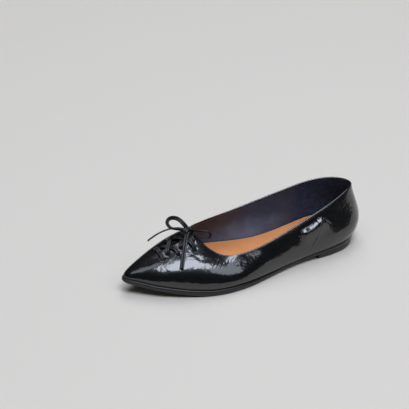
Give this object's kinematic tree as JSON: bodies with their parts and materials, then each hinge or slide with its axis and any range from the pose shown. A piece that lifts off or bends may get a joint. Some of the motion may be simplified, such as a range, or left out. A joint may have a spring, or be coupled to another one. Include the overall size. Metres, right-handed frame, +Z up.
{
  "type": "pointed toe flat shoe",
  "caption": "Left pointed toe flat shoe in glossy black leather, with a laced slit and a small bow at the throat, a tan insole and a low heel.",
  "frame": {"origin": "on the floor under the middle of the shoe's length and width", "axes": "-Y towards the toe, +Y towards the heel, +X towards the outer side of the foot, +Z up"},
  "size_m": [0.0857, 0.2676, 0.0614],
  "materials": {
    "upper_leather": "glossy, slightly crinkled",
    "sole": "satin",
    "heel": "satin",
    "insole_leather": "matt, smooth",
    "lace_leather": "satin, folded strip"
  },
  "bodies": {
    "root": {"upper": "upper_leather", "outsole": "sole", "heel": "heel", "insole": "insole_leather", "lace_bars": "lace_leather", "lace_knot": "lace_leather", "lace_loop_inner": "lace_leather", "lace_loop_outer": "lace_leather", "lace_end_inner": "lace_leather", "lace_end_outer": "lace_leather"}
  },
  "joints": []
}
